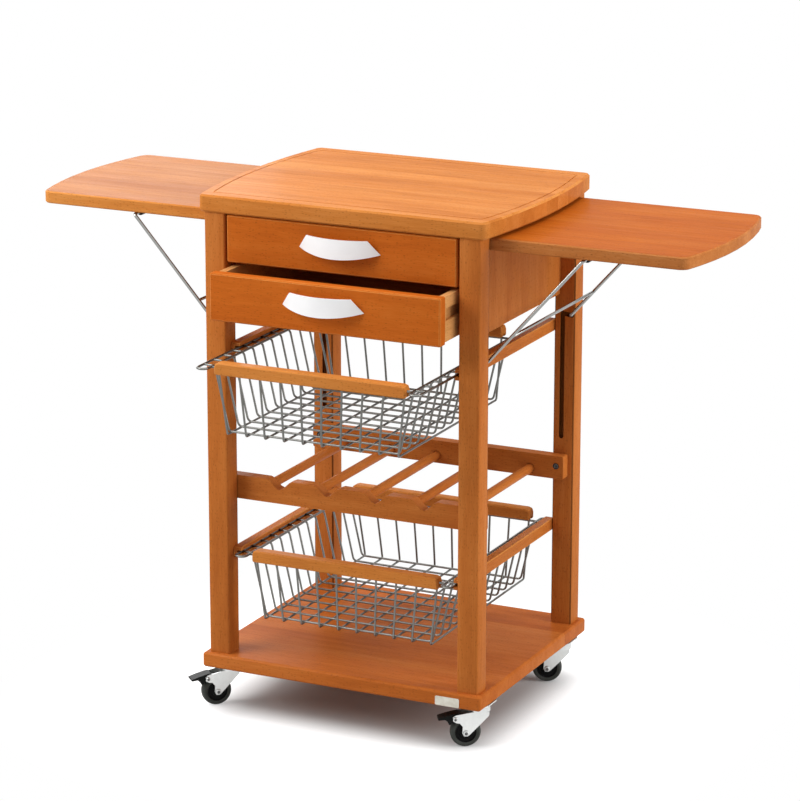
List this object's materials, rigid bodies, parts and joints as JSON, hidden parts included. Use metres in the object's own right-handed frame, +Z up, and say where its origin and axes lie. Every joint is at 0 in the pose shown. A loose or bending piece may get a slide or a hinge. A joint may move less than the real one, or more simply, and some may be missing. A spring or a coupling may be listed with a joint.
{
  "type": "drop leaf kitchen island",
  "caption": "Wheeled wooden kitchen island with folding side leaves on wire stays, drawers, sliding wire baskets and a bottle rack.",
  "frame": {"origin": "on the floor, under the middle of the whole part's box at rest", "axes": "+X to the right along the spread leaves, +Y to the back, +Z up; the drawers open towards -Y"},
  "size_m": [1.166, 0.549, 0.867],
  "materials": {
    "beech": "honey-stained beech, satin lacquer",
    "drawer_birch": "pale drawer wood, satin",
    "satin_handle": "satin",
    "bright_rod": "bright",
    "grey_wire": "dull grey plating",
    "zinc": "bright zinc",
    "wheel_rubber": "dark grey tread, black core",
    "black_plastic": "satin"
  },
  "bodies": {
    "frame": {"top_board": "beech", "base_board": "beech", "leg_front_left": "beech", "leg_front_right": "beech", "leg_rear_left": "beech", "leg_rear_right": "beech", "side_panel_left": "beech", "side_panel_right": "beech", "back_panel": "beech", "upper_basket_rail_left": "beech", "upper_basket_rail_right": "beech", "lower_basket_rail_left": "beech", "lower_basket_rail_right": "beech", "rack_rail_front": "beech", "rack_rail_rear": "beech", "rack_dowel_1": "beech", "rack_dowel_2": "beech", "rack_dowel_3": "beech", "rack_dowel_4": "beech", "rack_dowel_5": "beech", "caster_plate_front_left": "zinc", "caster_plate_front_right": "zinc", "caster_plate_rear_left": "zinc", "caster_plate_rear_right": "zinc", "leaf_pin_front_left": "zinc", "leaf_pin_front_right": "zinc", "leaf_pin_rear_left": "zinc", "leaf_pin_rear_right": "zinc"},
    "upper_drawer": {"upper_drawer_front": "beech", "upper_drawer_side_left": "drawer_birch", "upper_drawer_side_right": "drawer_birch", "upper_drawer_back": "drawer_birch", "upper_drawer_bottom": "drawer_birch", "upper_drawer_handle": "satin_handle"},
    "lower_drawer": {"lower_drawer_front": "beech", "lower_drawer_side_left": "drawer_birch", "lower_drawer_side_right": "drawer_birch", "lower_drawer_back": "drawer_birch", "lower_drawer_bottom": "drawer_birch", "lower_drawer_handle": "satin_handle"},
    "left_leaf": {"leaf_left": "beech"},
    "left_stay": {"leaf_stay_left": "bright_rod"},
    "right_leaf": {"leaf_right": "beech"},
    "right_stay": {"leaf_stay_right": "bright_rod"},
    "upper_basket": {"upper_basket_wires": "grey_wire", "upper_basket_front_bar": "beech", "upper_basket_rear_bar": "beech"},
    "lower_basket": {"lower_basket_wires": "grey_wire", "lower_basket_front_bar": "beech", "lower_basket_rear_bar": "beech"},
    "caster_front_left": {"caster_fork_front_left": "zinc"},
    "wheel_front_left": {"caster_wheel_front_left": "wheel_rubber"},
    "brake_front_left": {"brake_lever_front_left": "black_plastic"},
    "caster_front_right": {"caster_fork_front_right": "zinc"},
    "wheel_front_right": {"caster_wheel_front_right": "wheel_rubber"},
    "brake_front_right": {"brake_lever_front_right": "black_plastic"},
    "caster_rear_left": {"caster_fork_rear_left": "zinc"},
    "wheel_rear_left": {"caster_wheel_rear_left": "wheel_rubber"},
    "caster_rear_right": {"caster_fork_rear_right": "zinc"},
    "wheel_rear_right": {"caster_wheel_rear_right": "wheel_rubber"}
  },
  "joints": [
    {"name": "upper_drawer_slide", "type": "slide", "parent": "frame", "child": "upper_drawer", "axis": [0, -1, 0], "range_m": [0, 0.25]},
    {"name": "lower_drawer_slide", "type": "slide", "parent": "frame", "child": "lower_drawer", "axis": [0, -1, 0], "range_m": [-0.059, 0.19]},
    {"name": "upper_basket_slide", "type": "slide", "parent": "frame", "child": "upper_basket", "axis": [0, -1, 0], "range_m": [-0.121, 0.1]},
    {"name": "lower_basket_slide", "type": "slide", "parent": "frame", "child": "lower_basket", "axis": [0, -1, 0], "range_m": [0, 0.22]},
    {"name": "left_leaf_fold", "type": "hinge", "parent": "frame", "child": "left_leaf", "pos_m": [-0.2306, 0.05702, 0.825], "axis": [0, -1, 0], "range_deg": [0, 90]},
    {"name": "right_leaf_fold", "type": "hinge", "parent": "frame", "child": "right_leaf", "pos_m": [0.2306, 0.05702, 0.825], "axis": [0, 1, 0], "range_deg": [0, 90]},
    {"name": "left_stay_swing", "type": "hinge", "parent": "left_leaf", "child": "left_stay", "pos_m": [-0.392, 0.05702, 0.8115], "axis": [0, -1, 0], "range_deg": [-131.8, 0]},
    {"name": "right_stay_swing", "type": "hinge", "parent": "right_leaf", "child": "right_stay", "pos_m": [0.392, 0.05702, 0.8115], "axis": [0, 1, 0], "range_deg": [-131.8, 0]},
    {"name": "caster_swivel_front_left", "type": "hinge", "parent": "frame", "child": "caster_front_left", "pos_m": [-0.2272, -0.10988, 0.064], "axis": [0, 0, 1], "continuous": true},
    {"name": "wheel_spin_front_left", "type": "hinge", "parent": "caster_front_left", "child": "wheel_front_left", "pos_m": [-0.24375, -0.12642, 0.025], "axis": [0.7071, -0.7071, 0], "continuous": true},
    {"name": "brake_press_front_left", "type": "hinge", "parent": "caster_front_left", "child": "brake_front_left", "pos_m": [-0.25605, -0.13872, 0.049], "axis": [0.7071, -0.7071, 0], "range_deg": [0, 12]},
    {"name": "caster_swivel_front_right", "type": "hinge", "parent": "frame", "child": "caster_front_right", "pos_m": [0.2272, -0.10988, 0.064], "axis": [0, 0, 1], "continuous": true},
    {"name": "wheel_spin_front_right", "type": "hinge", "parent": "caster_front_right", "child": "wheel_front_right", "pos_m": [0.20714, -0.12193, 0.025], "axis": [0.515, -0.8572, 0], "continuous": true},
    {"name": "brake_press_front_right", "type": "hinge", "parent": "caster_front_right", "child": "brake_front_right", "pos_m": [0.19223, -0.13089, 0.049], "axis": [0.515, -0.8572, 0], "range_deg": [0, 12]},
    {"name": "caster_swivel_rear_left", "type": "hinge", "parent": "frame", "child": "caster_rear_left", "pos_m": [-0.2272, 0.22393, 0.064], "axis": [0, 0, 1], "continuous": true},
    {"name": "wheel_spin_rear_left", "type": "hinge", "parent": "caster_rear_left", "child": "wheel_rear_left", "pos_m": [-0.24805, 0.2133, 0.025], "axis": [0.454, -0.891, 0], "continuous": true},
    {"name": "caster_swivel_rear_right", "type": "hinge", "parent": "frame", "child": "caster_rear_right", "pos_m": [0.2272, 0.22393, 0.064], "axis": [0, 0, 1], "continuous": true},
    {"name": "wheel_spin_rear_right", "type": "hinge", "parent": "caster_rear_right", "child": "wheel_rear_right", "pos_m": [0.20566, 0.21478, 0.025], "axis": [0.3907, -0.9205, 0], "continuous": true}
  ],
  "couplings": [
    {"joint": "left_stay_swing", "follows": "left_leaf_fold", "ratio": -1.4628},
    {"joint": "right_stay_swing", "follows": "right_leaf_fold", "ratio": -1.4628}
  ]
}
